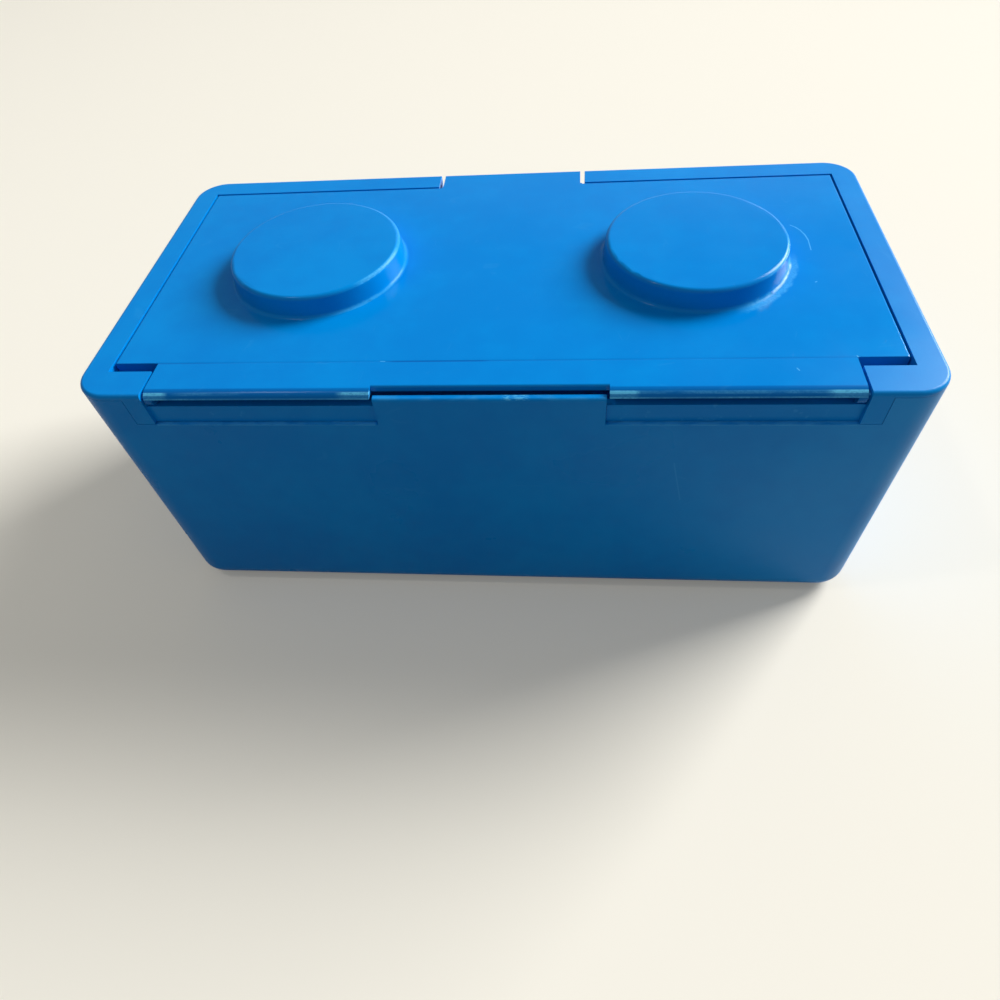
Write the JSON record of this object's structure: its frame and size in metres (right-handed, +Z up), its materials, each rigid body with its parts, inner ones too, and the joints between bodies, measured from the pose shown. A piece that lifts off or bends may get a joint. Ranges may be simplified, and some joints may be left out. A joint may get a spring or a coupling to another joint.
{
  "type": "brick-shaped storage box",
  "caption": "Blue plastic storage box shaped like a toy brick, with a hinged flush lid, raised round studs on top and matching stacking sockets below",
  "frame": {"origin": "middle of the flat underside", "axes": "+X along the length of the box, +Y to the front with the finger tab, -Y to the hinge side, +Z up"},
  "size_m": [0.22, 0.1094, 0.0944],
  "materials": {
    "blue_plastic": "glossy moulded plastic, lightly scuffed"
  },
  "bodies": {
    "box": {"tub": "blue_plastic", "rim_frame": "blue_plastic"},
    "lid": {"lid": "blue_plastic"}
  },
  "joints": [
    {"name": "lid_hinge", "type": "hinge", "parent": "box", "child": "lid", "pos_m": [0, -0.0527, 0.0855], "axis": [1, 0, 0], "range_deg": [0, 110]}
  ]
}
